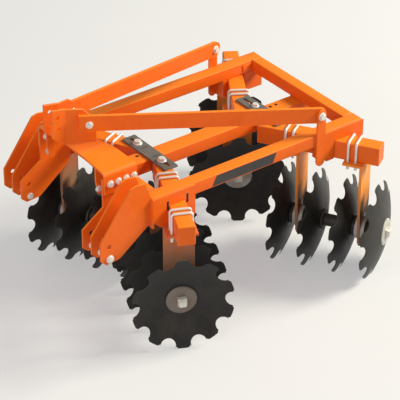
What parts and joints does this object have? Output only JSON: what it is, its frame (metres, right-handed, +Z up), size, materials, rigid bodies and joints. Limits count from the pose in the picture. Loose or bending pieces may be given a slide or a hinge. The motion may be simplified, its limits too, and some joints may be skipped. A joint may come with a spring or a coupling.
{
  "type": "mounted tandem disc harrow",
  "caption": "Three-point mounted tandem disc harrow: an orange rectangular frame carries angled gangs of notched concave discs that turn on their axles.",
  "frame": {"origin": "centre of the bounding box, on the ground under the discs", "axes": "+X to the machine's left, -Y forward to the hitch, +Z up"},
  "size_m": [1.743, 2.0664, 1.416],
  "materials": {
    "orange_paint": "semi-gloss",
    "hanger_paint": "satin",
    "disc_steel": "satin",
    "gang_steel": "matte",
    "zinc": "satin",
    "grey_paint": "satin"
  },
  "bodies": {
    "frame": {"left_rail": "orange_paint", "right_rail": "orange_paint", "front_cross_tube": "orange_paint", "rear_cross_tube": "orange_paint", "centre_beam": "orange_paint", "front_angle_plate": "grey_paint", "rear_angle_plate": "grey_paint", "left_post": "orange_paint", "right_post": "orange_paint", "left_brace": "orange_paint", "right_brace": "orange_paint", "left_arch": "orange_paint", "right_arch": "orange_paint", "left_hitch_inner": "orange_paint", "left_hitch_middle": "orange_paint", "left_hitch_outer": "orange_paint", "right_hitch_inner": "orange_paint", "right_hitch_middle": "orange_paint", "right_hitch_outer": "orange_paint", "left_link_pin": "zinc", "right_link_pin": "zinc", "front_left_pocket": "orange_paint", "front_right_pocket": "orange_paint", "rear_left_pocket": "orange_paint", "rear_right_pocket": "orange_paint", "front_left_beam": "orange_paint", "front_right_beam": "orange_paint", "rear_left_beam": "orange_paint", "rear_right_beam": "orange_paint", "front_left_hangers": "hanger_paint", "front_right_hangers": "hanger_paint", "rear_left_hangers": "hanger_paint", "rear_right_hangers": "hanger_paint", "front_left_bearings": "gang_steel", "front_right_bearings": "gang_steel", "rear_left_bearings": "gang_steel", "rear_right_bearings": "gang_steel", "front_left_u_bolts": "zinc", "front_right_u_bolts": "zinc", "rear_left_u_bolts": "zinc", "rear_right_u_bolts": "zinc"},
    "front_left_gang": {"front_left_axle": "gang_steel", "front_left_discs": "disc_steel", "front_left_spools": "gang_steel", "front_left_ends": "gang_steel"},
    "front_right_gang": {"front_right_axle": "gang_steel", "front_right_discs": "disc_steel", "front_right_spools": "gang_steel", "front_right_ends": "gang_steel"},
    "rear_left_gang": {"rear_left_axle": "gang_steel", "rear_left_discs": "disc_steel", "rear_left_spools": "gang_steel", "rear_left_ends": "gang_steel"},
    "rear_right_gang": {"rear_right_axle": "gang_steel", "rear_right_discs": "disc_steel", "rear_right_spools": "gang_steel", "rear_right_ends": "gang_steel"}
  },
  "joints": [
    {"name": "front_left_gang_spin", "type": "hinge", "parent": "frame", "child": "front_left_gang", "pos_m": [0.664, -0.5952, 0.3], "axis": [0.9107, -0.4131, 0], "continuous": true},
    {"name": "front_right_gang_spin", "type": "hinge", "parent": "frame", "child": "front_right_gang", "pos_m": [-0.664, -0.5952, 0.3], "axis": [-0.9107, -0.4131, 0], "continuous": true},
    {"name": "rear_left_gang_spin", "type": "hinge", "parent": "frame", "child": "rear_left_gang", "pos_m": [0.715, 0.7818, 0.3], "axis": [0.849, 0.5284, 0], "continuous": true},
    {"name": "rear_right_gang_spin", "type": "hinge", "parent": "frame", "child": "rear_right_gang", "pos_m": [-0.715, 0.7818, 0.3], "axis": [-0.849, 0.5284, 0], "continuous": true}
  ]
}
